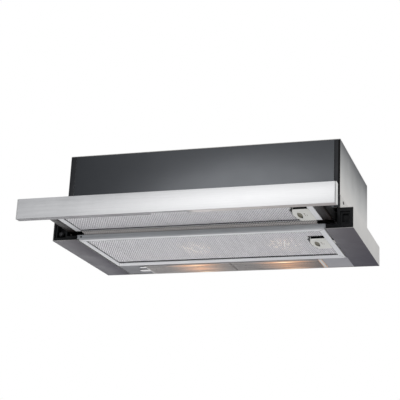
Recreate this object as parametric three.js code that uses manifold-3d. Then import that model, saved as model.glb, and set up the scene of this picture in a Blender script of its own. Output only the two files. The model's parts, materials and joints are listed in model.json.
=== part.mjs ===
// Telescopic range hood, 600 mm class, for fitting under a wall cabinet. All sizes are millimetres.
// +X is right, +Y is towards the wall and +Z is up. The origin is the middle of the rear face,
// level with the ledges that rest against the cabinet. The visor is drawn pulled out.

import * as THREE from "three";
import { mergeVertices } from "three/addons/utils/BufferGeometryUtils.js";
import Module from "manifold-3d";

const wasm = await Module();
wasm.setup();

// ---- Driving dimensions -------------------------------------------------------------------

const GAP = 0.3; // between pieces that touch
const SHEET = 1; // folded steel and aluminium sheet
const PAST = 1; // how far a cutter runs past the face it cuts

const HALF_WIDTH = 299; // lower housing
const DEPTH = 284;
const HEIGHT = 40;
const STRIP_INNER = 247; // inner edge of each underside strip
const FLANGE_HEIGHT = 24; // housing flange that clasps the upper box
const FIXING_HOLE = { radius: 2.5, y: -258, z: 15.6 }; // in each flange
const FRONT_BAR = { low: -38, fold: -31, high: -30, rear: -268 };
const BAR_HOLE = { radius: 1.5, x: -238.6, z: -34 };

const BOX_HALF = 273.5; // upper box
const BOX_TOP = 134;
const BOX_FRONT_FLANGE = 262.3; // inner edge of the side walls' front flanges
const PANEL_FOOT = -275; // rear edge of the front panel's folded foot
const REAR = -SHEET - GAP; // everything inside ends this far in front of the rear face

const OUTLET_Y = -125; // duct collar
const COLLAR_RADIUS = 60;
const COLLAR_WALL = 2;
const COLLAR_TOP = 166;
const COLLAR_LIP = 54;
const COLLAR_FLANGE_RADIUS = 70;
const COLLAR_FLANGE = 2;
const COLLAR_FLOOR = 4; // height of the lip that the flaps rest on
const COLLAR_OPENING = 57; // radius of the hole in the top panel
const COLLAR_SCREW_CIRCLE = 65;
const COLLAR_SCREW = { angles: [20, 160, 200, 340], hole: 2, head: 3.2, rise: 2, shank: 1.6, tip: 4 };
const FLAP_RADIUS = 56.8;
const FLAP_THICK = 1.2;
const FLAP_BARREL_HALF = 59.5;
const FLAP_PIVOT_OFFSET = 2.2; // each flap's pivot from the collar's middle
const FLAP_BARREL = 1.6;

const VISOR_FRONT = -442; // pulled out
const VISOR_LIP_REAR = -428;
const VISOR_TOP = -3.3;
const VISOR_BOTTOM = -42;
const VISOR_PANEL_HALF = 296.8;
const VISOR_END_HALF = 299;
const VISOR_SIDE_INNER = 244.8;
const VISOR_SIDE_OUTER = 261;
const VISOR_REAR = -296;
const NOTCH = { left: -38, right: 31, front: -435 }; // finger notch in the lip
const LIP_FOLD = 6; // height of the lip's upturned edge
const END_CAP_SETBACK = 0.6;
const VISOR_SIDE_TOP = -6;
const VISOR_TAB = 2; // thickness of the side member's tab behind the fascia
const TOP_PLATE = { low: -7.5, high: -6.5, rear: -300 };
const REAR_BAR = { foot: -20, depth: 4 };
const BYPASS = { depth: 34, low: -26, high: -23.3 };

const RAIL_HEIGHTS = { low: -24, high: -8 };
const RAIL_WEB = 266.3;
const RAIL_FRONT = -281;
const RAIL_PLAY = 0.5;
const VISOR_RAIL = { front: -425, rear: -205 };

const FILTER_HALF = 244; // both grease filters
const FILTER_THICK = 8.4;
const FILTER_STRIP = 11; // visible width of the frame
const FILTER_WALL = 1;
const MESH_THICK = 2;
const FIXED_FILTER = { front: -282.5, rear: -75.5, rearStrip: 21, under: -HEIGHT, latch: -190 };
const VISOR_FILTER = { front: -427.5, rear: -296.6, rearStrip: 1, under: -26.4, latch: -334.5 };
const LATCH = { inner: 206.5, bulge: 7.5, half: 36, proud: 1, depth: 4.5 };
const LATCH_TRAVEL = 7.5;
const LATCH_CLEARANCE = 1; // between a latch and the mesh round it
const LATCH_POCKET = 6; // height of the mesh's cut-outs
const TONGUE = { half: 10, low: 1.6, high: 4.2, root: 2 };
const LEAF = { tip: [209.5, -14], bow: [220, -15], tail: [212, 20], belly: [201.5, 15], floor: 1.6 };

const POD_INNER = 268.5;
const POD_OUTER = HALF_WIDTH - SHEET - GAP;
const POD_LOW = -HEIGHT + SHEET + GAP;
const POD_HIGH = -SHEET - GAP;
const POD_FACE = -DEPTH - 0.5;
const POD_BODY_REAR = -268;
const POD_PLATE = 2; // thickness of the face plate
const POD_FOOT = -31; // top of the foot
const WELL_RIGHT = { left: 271.5, right: 294.5, low: -34.5, high: -5.5 };
const WELL_STEP = { inset: 2.5, depth: 3.5 };
const WELL_LEFT = { left: -296, right: -270, low: -36, high: -4, floor: 1.5 };
const ARCH = { left: -290, right: -272, low: -34, spring: -15 };
const POD_SLOT = { left: -294.5, right: -292, low: -34, high: -8, depth: 3 };
const POD_BOSS = { x: -283, z: -26, radius: 5, depth: 4, pilot: 2.1 };
const POD_SCREW = { head: 3.4, rise: 1.8, neck: 0.5, shank: 1.8 };

const BUTTON = { left: 278.3, right: 288.7, low: -27.7, high: -12.3, face: -277.5, rear: -262 };
const BUTTON_SCOOP = { radius: 25, depth: 1 };
const BUTTON_SWITCH = { left: 274, right: 293, low: -30, high: -10, front: 3.5, rear: 18 };

const LAMP_PANEL = { front: -75, top: -20 };
const LENS = { left: -189.7, right: 184.7, middle: 0.5, front: -67.7, rear: -4.3, high: -30, wall: 1.4 };
const LENS_PLAY = 0.5;
const LENS_TABS = [[-197, -58, 5], [-204, -32, 7]]; // x, y and radius
const REFLECTOR = { side: 4, front: 3, rear: 2, top: 6 }; // margins round the lenses, and the roof
const END_CLIP = { left: 185.3, right: 192.9, high: -36 };
const BULBS = { left: -76, right: 113 }; // middle of each bulb
const BULB_HEIGHT = -14;
const BULB_Y = -36;
const BULB_PROFILE = [
  [0, -36],
  [6.5, -36],
  [6.5, -26],
  [11, -18],
  [15, -8],
  [16, 0],
  [14.5, 10],
  [9, 22],
  [3, 32],
  [0, 36],
]; // radius, and height along the bulb
const HOLDER = { radius: 11, socket: 7, floor: -37, from: -52, to: -27 };
const HOLDER_BRACKET = { from: -50, to: -40, half: 6, top: 5 };

const SCROLL = { y: -138, z: 62, start: 48, end: 60, from: 136, half: 52, wall: 1.2, top: 132.5 };
const INLET_RADIUS = 36;
const WHEEL = { inner: 34, outer: 44, half: 47, blades: 24, ring: 3, disc: 1 };
const BLADE = { thick: 1.2, lean: 0.45, inset: 0.8 };
const HUB = { radius: 9, half: 12 };
const MOTOR = { radius: 30, left: -106, right: -56, nose: 14, noseLength: 6, bore: 8 };
const BRACKET = { wall: 3, front: 6, rear: 14, armReach: 10, footReach: 16 };
const BRACKET_ARM = [4, 10, 16];
const BRACKET_FOOT = [10, 10, 4];
const BRACKET_ANGLES = [90, 210, 330];
const CAPACITOR = { x: -180, radius: 16, low: 30, high: 88, terminal: 6, top: 94 };
const SHAFT_RADIUS = 4;

const CONTROL = { left: 160, right: 250, front: -272, rear: -210, low: 70, high: 128, wall: 2 };
const GLAND = { x: 200, y: -40, radius: 8, bore: 4.2, top: 150, under: 8, flange: 4 };

const VISOR_SWITCH = { left: 258, front: -56, depth: 20, low: -21.5, high: -10.5 };
const PLUNGER = { left: 262, right: 265, reach: 4.3, root: 2.3, low: -18, high: -14 };

// ---- Materials ----------------------------------------------------------------------------

const FINISHES = {
  dark_steel: { color: 0x54585c, roughness: 0.4, metalness: 0.6 },
  grey_steel: { color: 0xb4b1ac, roughness: 0.45, metalness: 0.4 },
  panel_grey: { color: 0x77767b, roughness: 0.5, metalness: 0.4 },
  stainless: { color: 0xd0d2d4, roughness: 0.3, metalness: 1 },
  galvanised: { color: 0xa4a8ab, roughness: 0.45, metalness: 0.9 },
  aluminium: { color: 0xd6d8dc, roughness: 0.4, metalness: 0.9 },
  black_plastic: { color: 0x151515, roughness: 0.5, metalness: 0 },
  grey_plastic: { color: 0x5a5c5f, roughness: 0.6, metalness: 0 },
  ivory_plastic: { color: 0xd3d2cb, roughness: 0.55, metalness: 0 },
  white_plastic: { color: 0xe6e6e4, roughness: 0.5, metalness: 0 },
  lens: { color: 0xcfc4b6, roughness: 0.3, metalness: 0 },
  bulb_glass: { color: 0xfff1d8, roughness: 0.1, metalness: 0 },
};

// ---- Solids -------------------------------------------------------------------------------

// A closed three.js geometry as a solid that can be joined and cut.
function solid(geometry) {
  const bare = geometry.index ? geometry.toNonIndexed() : geometry.clone();
  bare.deleteAttribute("normal");
  bare.deleteAttribute("uv");
  const merged = mergeVertices(bare, 1e-4);
  return new wasm.Manifold(
    new wasm.Mesh({
      numProp: 3,
      vertProperties: merged.attributes.position.array,
      triVerts: new Uint32Array(merged.index.array),
    }),
  );
}

// The solid's surface as a three.js geometry.
function surface(body) {
  const mesh = body.getMesh();
  const geometry = new THREE.BufferGeometry();
  geometry.setAttribute("position", new THREE.BufferAttribute(mesh.vertProperties, mesh.numProp));
  geometry.setIndex(new THREE.BufferAttribute(mesh.triVerts, 1));
  geometry.computeVertexNormals();
  return geometry;
}

const join = (first, ...others) => others.reduce((whole, other) => whole.add(other), first);
const cut = (first, ...others) => others.reduce((whole, other) => whole.subtract(other), first);

// A box between two limits on each axis.
function block([x0, x1], [y0, y1], [z0, z1]) {
  const geometry = new THREE.BoxGeometry(x1 - x0, y1 - y0, z1 - z0);
  geometry.translate((x0 + x1) / 2, (y0 + y1) / 2, (z0 + z1) / 2);
  return solid(geometry);
}

// Turns that carry a shape drawn in XY and extruded along +Z onto each row axis.
// Along X the outline is (y, z); along Y it is (x, z); along Z it is (x, y).
const TURNS = {
  x: new THREE.Matrix4().set(0, 0, 1, 0, 1, 0, 0, 0, 0, 1, 0, 0, 0, 0, 0, 1),
  y: new THREE.Matrix4().set(1, 0, 0, 0, 0, 0, -1, 0, 0, 1, 0, 0, 0, 0, 0, 1),
  z: new THREE.Matrix4(),
};

// An outline, a list of points or a THREE.Shape, extruded along a row axis between two limits.
function prism(outline, axis, [from, to], curveSegments = 10) {
  const shape = Array.isArray(outline)
    ? new THREE.Shape(outline.map(([a, b]) => new THREE.Vector2(a, b)))
    : outline;
  const geometry = new THREE.ExtrudeGeometry(shape, { depth: to - from, bevelEnabled: false, curveSegments });
  geometry.translate(0, 0, axis === "y" ? -to : from);
  geometry.applyMatrix4(TURNS[axis]);
  return solid(geometry);
}

// A cylinder along a row axis, centred on (a, b) in the plane across it.
function rod(radius, axis, [a, b], limits, segments = 24) {
  const ring = Array.from({ length: segments }, (_, i) => {
    const angle = (2 * Math.PI * i) / segments;
    return [a + radius * Math.cos(angle), b + radius * Math.sin(angle)];
  });
  return prism(ring, axis, limits);
}

// A closed profile of (radius, height) turned about the Z axis, then moved to its place.
function turned(profile, segments, x, y) {
  const closed = [...profile, profile[0]].map(([r, z]) => new THREE.Vector2(r, z));
  const geometry = new THREE.LatheGeometry(closed, segments);
  geometry.rotateX(Math.PI / 2);
  geometry.translate(x, y, 0);
  return solid(geometry);
}

// ---- Scene graph --------------------------------------------------------------------------

const hood = new THREE.Group();

function put(group, name, finish, body) {
  const mesh = new THREE.Mesh(surface(body), new THREE.MeshStandardMaterial(FINISHES[finish]));
  mesh.name = name;
  group.add(mesh);
  return mesh;
}

// A piece drawn on the right, with its mirror image on the left.
function putPair(group, name, finish, body) {
  put(group, name + "_right", finish, body);
  put(group, name + "_left", finish, body).scale.x = -1;
}

// ---- Lower housing ------------------------------------------------------------------------

// Underside strip, outer wall, ledge and upstanding flange, folded from one sheet.
function sideChannel() {
  const flange = BOX_HALF + GAP;
  const section = [
    [STRIP_INNER, -HEIGHT],
    [HALF_WIDTH, -HEIGHT],
    [HALF_WIDTH, 0],
    [flange + SHEET, 0],
    [flange + SHEET, FLANGE_HEIGHT],
    [flange, FLANGE_HEIGHT],
    [flange, -SHEET],
    [HALF_WIDTH - SHEET, -SHEET],
    [HALF_WIDTH - SHEET, -HEIGHT + SHEET],
    [STRIP_INNER, -HEIGHT + SHEET],
  ];
  const { radius, y, z } = FIXING_HOLE;
  const hole = rod(radius, "x", [y, z], [flange - PAST, flange + SHEET + PAST], 12);
  return cut(prism(section, "y", [-DEPTH, REAR]), hole);
}

// Bar across the mouth of the housing, with a return over the fixed filter's front edge.
function frontBar() {
  const half = STRIP_INNER - GAP;
  const { low, fold, high, rear } = FRONT_BAR;
  const section = [
    [-DEPTH, low],
    [-DEPTH + SHEET, low],
    [-DEPTH + SHEET, fold],
    [rear, fold],
    [rear, high],
    [-DEPTH, high],
  ];
  const across = [-DEPTH - PAST, -DEPTH + SHEET + PAST];
  const hole = rod(BAR_HOLE.radius, "y", [BAR_HOLE.x, BAR_HOLE.z], across, 12);
  return cut(prism(section, "x", [-half, half]), hole);
}

// Plastic end block: a face plate with a foot that reaches in under the visor's side member.
function podBlank(side) {
  const plate = [
    [side * (STRIP_INNER + GAP), POD_LOW],
    [side * POD_OUTER, POD_LOW],
    [side * POD_OUTER, POD_HIGH],
    [side * POD_INNER, POD_HIGH],
    [side * POD_INNER, POD_FOOT],
    [side * (STRIP_INNER + GAP), POD_FOOT],
  ];
  if (side < 0) plate.reverse();
  return prism(plate, "y", [POD_FACE, POD_FACE + POD_PLATE]);
}

function podRight() {
  const { left, right, low, high } = WELL_RIGHT;
  const { inset, depth } = WELL_STEP;
  const well = block([left, right], [POD_FACE, POD_BODY_REAR], [low, high]);
  const step = block(
    [left + inset, right - inset],
    [POD_FACE - PAST, POD_FACE + depth],
    [low + inset, high - inset],
  );
  const throat = block(
    [BUTTON.left - GAP, BUTTON.right + GAP],
    [POD_FACE - PAST, POD_BODY_REAR + PAST],
    [BUTTON.low - GAP, BUTTON.high + GAP],
  );
  return cut(join(podBlank(1), well), step, throat);
}

const BOSS_AT = [POD_BOSS.x, POD_BOSS.z];

// The left block's well is arched at the top, with a slot beside it and a screw boss inside.
function podLeft() {
  const { left, right, low, high, floor } = WELL_LEFT;
  const well = block([left, right], [POD_FACE, POD_BODY_REAR], [low, high]);
  const radius = (ARCH.right - ARCH.left) / 2;
  const arch = new THREE.Shape();
  arch.moveTo(ARCH.left, ARCH.low);
  arch.lineTo(ARCH.right, ARCH.low);
  arch.lineTo(ARCH.right, ARCH.spring);
  arch.absarc(ARCH.left + radius, ARCH.spring, radius, 0, Math.PI, false);
  arch.lineTo(ARCH.left, ARCH.low);
  const hollow = prism(arch, "y", [POD_FACE - PAST, POD_BODY_REAR - floor]);
  const slot = block(
    [POD_SLOT.left, POD_SLOT.right],
    [POD_FACE - PAST, POD_FACE + POD_SLOT.depth],
    [POD_SLOT.low, POD_SLOT.high],
  );
  const boss = rod(POD_BOSS.radius, "y", BOSS_AT, [POD_FACE + POD_BOSS.depth, POD_BODY_REAR - SHEET], 20);
  const pilot = rod(POD_BOSS.pilot, "y", BOSS_AT, [POD_FACE, POD_BODY_REAR + PAST], 12);
  return cut(join(cut(join(podBlank(-1), well), hollow, slot), boss), pilot);
}

// Pan-head screw along Y with its head towards the front.
function podScrew() {
  const { head, rise, neck, shank } = POD_SCREW;
  const seat = POD_FACE + POD_BOSS.depth - GAP;
  return join(
    rod(head, "y", BOSS_AT, [seat - rise, seat], 16),
    rod(shank, "y", BOSS_AT, [seat - neck, POD_BODY_REAR], 12),
  );
}

// Square push button with a hollowed face.
function pushButton() {
  const stem = block([BUTTON.left, BUTTON.right], [BUTTON.face, BUTTON.rear], [BUTTON.low, BUTTON.high]);
  const { radius, depth } = BUTTON_SCOOP;
  const middle = [(BUTTON.left + BUTTON.right) / 2, BUTTON.face + depth - radius];
  return cut(stem, rod(radius, "z", middle, [BUTTON.low - PAST, BUTTON.high + PAST], 96));
}

function buttonSwitch() {
  const { left, right, low, high, front, rear } = BUTTON_SWITCH;
  return block([left, right], [BUTTON.rear + front, BUTTON.rear + rear], [low, high]);
}

// ---- Upper box ----------------------------------------------------------------------------

const UNDER_TOP = BOX_TOP - SHEET - GAP;

function boxSide() {
  const section = [
    [BOX_FRONT_FLANGE, -DEPTH],
    [BOX_HALF, -DEPTH],
    [BOX_HALF, REAR],
    [BOX_HALF - SHEET, REAR],
    [BOX_HALF - SHEET, -DEPTH + SHEET],
    [BOX_FRONT_FLANGE, -DEPTH + SHEET],
  ];
  return prism(section, "z", [0, UNDER_TOP]);
}

function frontPanel() {
  const half = BOX_FRONT_FLANGE - GAP;
  const section = [
    [-DEPTH, 0],
    [PANEL_FOOT, 0],
    [PANEL_FOOT, SHEET],
    [-DEPTH + SHEET, SHEET],
    [-DEPTH + SHEET, UNDER_TOP],
    [-DEPTH, UNDER_TOP],
  ];
  return prism(section, "x", [-half, half]);
}

// The four screws that hold the collar's flange, outside the scroll's end plates.
const COLLAR_SCREWS = COLLAR_SCREW.angles.map((angle) => {
  const turn = THREE.MathUtils.degToRad(angle);
  return [COLLAR_SCREW_CIRCLE * Math.cos(turn), OUTLET_Y + COLLAR_SCREW_CIRCLE * Math.sin(turn)];
});

function topPanel() {
  const span = [BOX_TOP - SHEET - PAST, BOX_TOP + PAST];
  return cut(
    block([-BOX_HALF, BOX_HALF], [-DEPTH, REAR], [BOX_TOP - SHEET, BOX_TOP]),
    rod(COLLAR_OPENING, "z", [0, OUTLET_Y], span, 48),
    rod(GLAND.radius + GAP, "z", [GLAND.x, GLAND.y], span, 20),
    ...COLLAR_SCREWS.map((at) => rod(COLLAR_SCREW.hole, "z", at, span, 10)),
  );
}

function backPanel() {
  const outline = [
    [-HALF_WIDTH, -HEIGHT],
    [HALF_WIDTH, -HEIGHT],
    [HALF_WIDTH, 0],
    [BOX_HALF, 0],
    [BOX_HALF, BOX_TOP],
    [-BOX_HALF, BOX_TOP],
    [-BOX_HALF, 0],
    [-HALF_WIDTH, 0],
  ];
  return prism(outline, "y", [-SHEET, 0]);
}

// ---- Duct collar and damper flaps ---------------------------------------------------------

const COLLAR_BASE = BOX_TOP + GAP;
const FLAP_UNDER = COLLAR_BASE + COLLAR_FLOOR + GAP;
const FLAP_PIVOT_Z = FLAP_UNDER + FLAP_BARREL;

function outletCollar() {
  const inner = COLLAR_RADIUS - COLLAR_WALL;
  const profile = [
    [COLLAR_LIP, COLLAR_BASE],
    [COLLAR_FLANGE_RADIUS, COLLAR_BASE],
    [COLLAR_FLANGE_RADIUS, COLLAR_BASE + COLLAR_FLANGE],
    [COLLAR_RADIUS, COLLAR_BASE + COLLAR_FLANGE],
    [COLLAR_RADIUS, COLLAR_TOP],
    [inner, COLLAR_TOP],
    [inner, COLLAR_BASE + COLLAR_FLOOR],
    [COLLAR_LIP, COLLAR_BASE + COLLAR_FLOOR],
  ];
  const across = [-COLLAR_RADIUS - PAST, COLLAR_RADIUS + PAST];
  const pins = [-1, 1].map((side) =>
    rod(FLAP_BARREL + GAP, "x", [OUTLET_Y + side * FLAP_PIVOT_OFFSET, FLAP_PIVOT_Z], across, 12),
  );
  const screwSpan = [COLLAR_BASE - PAST, COLLAR_BASE + COLLAR_FLANGE + PAST];
  const screws = COLLAR_SCREWS.map((at) => rod(COLLAR_SCREW.hole, "z", at, screwSpan, 10));
  return cut(turned(profile, 48, 0, OUTLET_Y), ...pins, ...screws);
}

// Half disc on a barrel whose ends turn in the collar's wall. side is -1 for the front flap.
function damperFlap(side) {
  const pivot = OUTLET_Y + side * FLAP_PIVOT_OFFSET;
  const half = new THREE.Shape();
  const start = Math.asin(FLAP_PIVOT_OFFSET / FLAP_RADIUS);
  if (side > 0) half.absarc(0, OUTLET_Y, FLAP_RADIUS, start, Math.PI - start, false);
  else half.absarc(0, OUTLET_Y, FLAP_RADIUS, Math.PI + start, 2 * Math.PI - start, false);
  const disc = prism(half, "z", [FLAP_UNDER, FLAP_UNDER + FLAP_THICK], 28);
  const barrel = [-FLAP_BARREL_HALF, FLAP_BARREL_HALF];
  return join(disc, rod(FLAP_BARREL, "x", [pivot, FLAP_PIVOT_Z], barrel, 12));
}

function collarScrew(at) {
  const seat = COLLAR_BASE + COLLAR_FLANGE + GAP;
  const { head, rise, shank, tip } = COLLAR_SCREW;
  return join(
    rod(head, "z", at, [seat, seat + rise], 12),
    rod(shank, "z", at, [BOX_TOP - tip, seat + rise / 2], 8),
  );
}

function cableGland() {
  const at = [GLAND.x, GLAND.y];
  const { radius, bore, top, under, flange } = GLAND;
  const stem = rod(radius, "z", at, [BOX_TOP - under, top], 20);
  const nut = rod(radius + flange, "z", at, [BOX_TOP + GAP, BOX_TOP + flange], 6);
  return cut(join(stem, nut), rod(bore, "z", at, [BOX_TOP - under - PAST, top + PAST], 16));
}

// ---- Blower -------------------------------------------------------------------------------

// Points of the scroll's wall at a distance outside its inner face: down the front of the
// outlet neck, round the spiral and up the rear of the neck.
function scrollPath(offset) {
  const steps = 18;
  const points = [];
  for (let i = 0; i <= steps; i++) {
    const degrees = SCROLL.from + ((360 - SCROLL.from) * i) / steps;
    const angle = THREE.MathUtils.degToRad(degrees);
    const radius = SCROLL.start + ((SCROLL.end - SCROLL.start) * i) / steps + offset;
    points.push([SCROLL.y + radius * Math.cos(angle), SCROLL.z + radius * Math.sin(angle)]);
  }
  const first = points[0];
  const last = points[points.length - 1];
  return [[first[0], SCROLL.top], ...points, [last[0], SCROLL.top]];
}

function scrollShell() {
  const outline = [...scrollPath(SCROLL.wall), ...scrollPath(0).reverse()];
  return prism(outline, "x", [-SCROLL.half, SCROLL.half]);
}

const SCROLL_SIDE = [SCROLL.half + GAP, SCROLL.half + GAP + SCROLL.wall];

// End plate of the scroll with its round inlet.
function scrollSide() {
  const [inner, outer] = SCROLL_SIDE;
  const plate = prism(scrollPath(SCROLL.wall), "x", SCROLL_SIDE);
  return cut(plate, rod(INLET_RADIUS, "x", [SCROLL.y, SCROLL.z], [inner - PAST, outer + PAST], 32));
}

// Drum wheel: straight blades between two end rings, carried by a disc and hub in the middle.
function impeller() {
  const at = [SCROLL.y, SCROLL.z];
  const band = (from, to) =>
    cut(
      rod(WHEEL.outer, "x", at, [from, to], 48),
      rod(WHEEL.inner, "x", at, [from - PAST, to + PAST], 48),
    );
  const blades = Array.from({ length: WHEEL.blades }, (_, i) => {
    const height = WHEEL.outer - WHEEL.inner - 2 * BLADE.inset;
    const blade = new THREE.BoxGeometry(2 * WHEEL.half - 2, BLADE.thick, height);
    blade.rotateX(BLADE.lean);
    blade.translate(0, 0, (WHEEL.outer + WHEEL.inner) / 2);
    blade.rotateX((2 * Math.PI * i) / WHEEL.blades);
    blade.translate(0, SCROLL.y, SCROLL.z);
    return solid(blade);
  });
  const disc = rod(WHEEL.outer, "x", at, [-WHEEL.disc, WHEEL.disc], 48);
  const hub = rod(HUB.radius, "x", at, [-HUB.half, HUB.half], 20);
  const whole = join(
    disc,
    hub,
    band(-WHEEL.half, -WHEEL.half + WHEEL.ring),
    band(WHEEL.half - WHEEL.ring, WHEEL.half),
    ...blades,
  );
  return cut(whole, rod(SHAFT_RADIUS + GAP, "x", at, [-HUB.half - PAST, HUB.half + PAST], 16));
}

function motorShaft() {
  return rod(SHAFT_RADIUS, "x", [SCROLL.y, SCROLL.z], [MOTOR.right - MOTOR.bore, HUB.half + 2], 16);
}

function motorHousing() {
  const at = [SCROLL.y, SCROLL.z];
  const { radius, left, right, nose, noseLength, bore } = MOTOR;
  const can = rod(radius, "x", at, [left, right - noseLength], 32);
  const boss = rod(nose, "x", at, [right - noseLength, right], 24);
  const hole = rod(SHAFT_RADIUS + GAP, "x", at, [right - bore - GAP, right + PAST], 16);
  return cut(join(can, boss), hole);
}

// Ring round the motor with three arms whose feet meet the left end plate.
function motorBracket() {
  const at = [SCROLL.y, SCROLL.z];
  const face = -SCROLL_SIDE[1] - GAP;
  const inner = MOTOR.radius + GAP;
  const { wall, front, rear, armReach, footReach } = BRACKET;
  const ring = rod(inner + wall, "x", at, [face - rear, face - front], 32);
  const arms = BRACKET_ANGLES.map((degrees) => {
    const arm = new THREE.BoxGeometry(...BRACKET_ARM);
    arm.translate(face - front - BRACKET_ARM[0] / 2, 0, inner + armReach);
    const foot = new THREE.BoxGeometry(...BRACKET_FOOT);
    foot.translate(face - BRACKET_FOOT[0] / 2, 0, inner + footReach);
    const turn = THREE.MathUtils.degToRad(degrees - 90);
    return join(...[arm, foot].map((g) => solid(g.rotateX(turn).translate(0, SCROLL.y, SCROLL.z))));
  });
  return cut(join(ring, ...arms), rod(inner, "x", at, [face - rear - PAST, face + PAST], 32));
}

function capacitor() {
  const { x, radius, low, high, terminal, top } = CAPACITOR;
  const at = [x, REAR - radius - GAP];
  return join(rod(radius, "z", at, [low, high], 24), rod(terminal, "z", at, [high - SHEET, top], 12));
}

function controlBox() {
  const { left, right, front, rear, low, high, wall } = CONTROL;
  const shell = block([left, right], [front, rear], [low, high]);
  const inside = block([left + wall, right - wall], [front + wall, rear - wall], [low - PAST, high - wall]);
  return cut(shell, inside);
}

function controlBoxCover() {
  const { left, right, front, rear, low, wall } = CONTROL;
  return block([left, right], [front, rear], [low - wall - GAP, low - GAP]);
}

// ---- Lamp unit ----------------------------------------------------------------------------

function lampPanel() {
  const half = STRIP_INNER - GAP;
  const under = -HEIGHT + SHEET;
  const { front, top } = LAMP_PANEL;
  const section = [
    [front, under],
    [REAR, under],
    [REAR, under + SHEET],
    [front + SHEET, under + SHEET],
    [front + SHEET, top],
    [front, top],
  ];
  const opening = block(
    [LENS.left - LENS_PLAY, END_CLIP.right + LENS_PLAY],
    [LENS.front - LENS_PLAY, LENS.rear + LENS_PLAY],
    [under - PAST, under + SHEET + PAST],
  );
  return cut(prism(section, "x", [-half, half]), opening);
}

function lampReflector() {
  const { side, front, rear, top } = REFLECTOR;
  const [x0, x1] = [LENS.left - side, END_CLIP.right + side];
  const [y0, y1] = [LENS.front - front, LENS.rear + rear];
  const low = -HEIGHT + 2 * SHEET + GAP;
  const inside = block([x0 + SHEET, x1 - SHEET], [y0 + SHEET, y1 - SHEET], [low - PAST, top - SHEET]);
  return cut(block([x0, x1], [y0, y1], [low, top]), inside);
}

function lensTray([x0, x1]) {
  const { front, rear, high, wall } = LENS;
  const shell = block([x0, x1], [front, rear], [-HEIGHT, high]);
  const inside = [-HEIGHT + wall, high + PAST];
  return cut(shell, block([x0 + wall, x1 - wall], [front + wall, rear - wall], inside));
}

// The left tray carries two rounded finger tabs under the lamp panel.
function lensLeft() {
  const thick = [-HEIGHT, -HEIGHT + SHEET - GAP];
  const root = LENS.left + SHEET;
  const tabs = LENS_TABS.map(([x, y, radius]) =>
    join(rod(radius, "z", [x, y], thick, 20), block([x, root], [y - radius, y + radius], thick)),
  );
  return join(lensTray([LENS.left, -LENS.middle]), ...tabs);
}

function lensRight() {
  return lensTray([LENS.middle, LENS.right]);
}

function endClip() {
  return block([END_CLIP.left, END_CLIP.right], [LENS.front, LENS.rear], [-HEIGHT, END_CLIP.high]);
}

// Candle bulb along X: neck in the holder, body widest at its middle.
function bulb(middle) {
  const profile = BULB_PROFILE.map(([r, h]) => new THREE.Vector2(r, h));
  const geometry = new THREE.LatheGeometry(profile, 20);
  geometry.rotateZ(-Math.PI / 2);
  geometry.translate(middle, BULB_Y, BULB_HEIGHT);
  return solid(geometry);
}

function bulbHolder(middle) {
  const at = [BULB_Y, BULB_HEIGHT];
  const { radius, socket, floor, from, to } = HOLDER;
  const { half, top } = HOLDER_BRACKET;
  const along = [middle + HOLDER_BRACKET.from, middle + HOLDER_BRACKET.to];
  const sleeve = rod(radius, "x", at, [middle + from, middle + to], 24);
  const bracket = block(along, [BULB_Y - half, BULB_Y + half], [BULB_HEIGHT, top - GAP]);
  return cut(join(sleeve, bracket), rod(socket, "x", at, [middle + floor, middle + to + PAST], 20));
}

// ---- Slides and visor ---------------------------------------------------------------------

function fixedRail() {
  const { low, high } = RAIL_HEIGHTS;
  const inner = VISOR_SIDE_OUTER + 1;
  const section = [
    [inner, low],
    [RAIL_WEB + SHEET, low],
    [RAIL_WEB + SHEET, high],
    [inner, high],
    [inner, high - SHEET],
    [RAIL_WEB, high - SHEET],
    [RAIL_WEB, low + SHEET],
    [inner, low + SHEET],
  ];
  return prism(section, "y", [RAIL_FRONT, REAR]);
}

function visorRail() {
  const { low, high } = RAIL_HEIGHTS;
  const across = [VISOR_SIDE_OUTER + GAP, RAIL_WEB - RAIL_PLAY];
  const tall = [low + SHEET + RAIL_PLAY, high - SHEET - RAIL_PLAY];
  return block(across, [VISOR_RAIL.front, VISOR_RAIL.rear], tall);
}

// Stainless fascia: face, top return and underside lip with its finger notch.
function visorPanel() {
  const section = [
    [VISOR_FRONT, VISOR_BOTTOM],
    [VISOR_LIP_REAR, VISOR_BOTTOM],
    [VISOR_LIP_REAR, VISOR_BOTTOM + LIP_FOLD],
    [VISOR_LIP_REAR - SHEET, VISOR_BOTTOM + LIP_FOLD],
    [VISOR_LIP_REAR - SHEET, VISOR_BOTTOM + SHEET],
    [VISOR_FRONT + SHEET, VISOR_BOTTOM + SHEET],
    [VISOR_FRONT + SHEET, VISOR_TOP - SHEET],
    [VISOR_LIP_REAR, VISOR_TOP - SHEET],
    [VISOR_LIP_REAR, VISOR_TOP],
    [VISOR_FRONT, VISOR_TOP],
  ];
  const notch = block(
    [NOTCH.left, NOTCH.right],
    [NOTCH.front, VISOR_LIP_REAR + PAST],
    [VISOR_BOTTOM - PAST, VISOR_BOTTOM + LIP_FOLD + PAST],
  );
  return cut(prism(section, "x", [-VISOR_PANEL_HALF, VISOR_PANEL_HALF]), notch);
}

function visorEndCap() {
  const across = [VISOR_PANEL_HALF + GAP, VISOR_END_HALF];
  return block(across, [VISOR_FRONT + END_CAP_SETBACK, VISOR_LIP_REAR], [VISOR_BOTTOM, VISOR_TOP]);
}

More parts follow.
